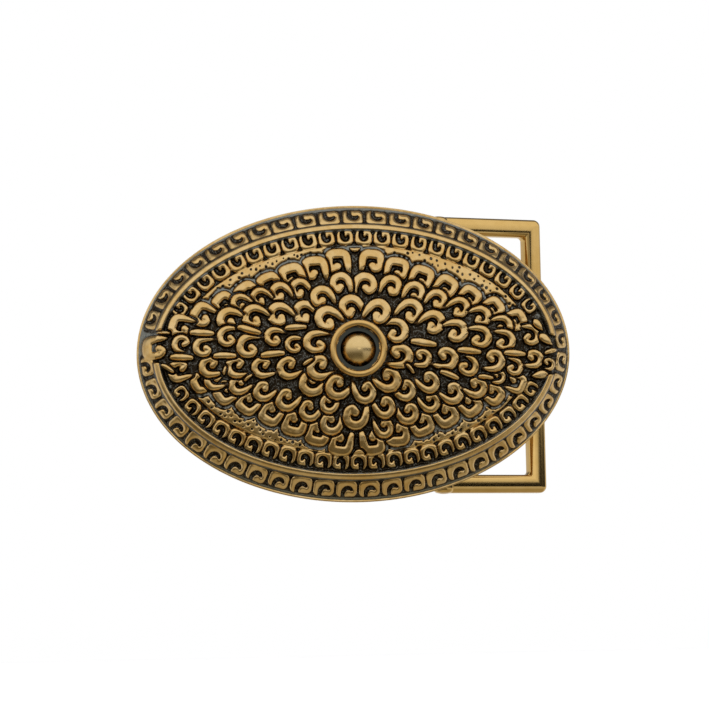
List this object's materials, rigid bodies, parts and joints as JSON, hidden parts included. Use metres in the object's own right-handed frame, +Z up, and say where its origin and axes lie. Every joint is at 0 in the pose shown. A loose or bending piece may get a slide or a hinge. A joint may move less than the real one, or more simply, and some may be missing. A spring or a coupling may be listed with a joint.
{
  "type": "belt buckle",
  "caption": "Oval domed plaque belt buckle with a raised rib, pointed rosette and centre boss, a fixed belt hook and a hinged rectangular strap loop.",
  "frame": {"origin": "centre of the oval on its back plane, the plane that lies against the belt", "axes": "+X along the belt towards the strap loop, +Y out of the back towards the wearer, +Z up as worn; the face looks along -Y"},
  "size_m": [0.075, 0.0217, 0.0514],
  "materials": {
    "antique_brass": "cast brass with a dark antiquing patina in the recesses and hand-polished highlights",
    "polished_brass": "polished brass, softly worn",
    "loop_brass": "polished brass",
    "satin_brass": "satin brass, lightly brushed",
    "plain_brass": "plain turned brass"
  },
  "bodies": {
    "plaque": {"front_plaque": "antique_brass", "boss_collar": "polished_brass", "boss_dome": "polished_brass", "boss_washer": "plain_brass", "back_plate": "satin_brass", "plate_screws": "plain_brass", "hinge_lug_upper": "satin_brass", "hinge_lug_lower": "satin_brass", "lug_rivets": "plain_brass", "hook_flange": "satin_brass", "belt_hook": "loop_brass", "hook_washer": "plain_brass"},
    "loop": {"belt_loop": "loop_brass", "hinge_pin": "plain_brass"}
  },
  "joints": [
    {"name": "loop_swing", "type": "hinge", "parent": "plaque", "child": "loop", "pos_m": [0.0155, 0.0031, 0], "axis": [0, 0, 1], "range_deg": [-16, 164]}
  ]
}
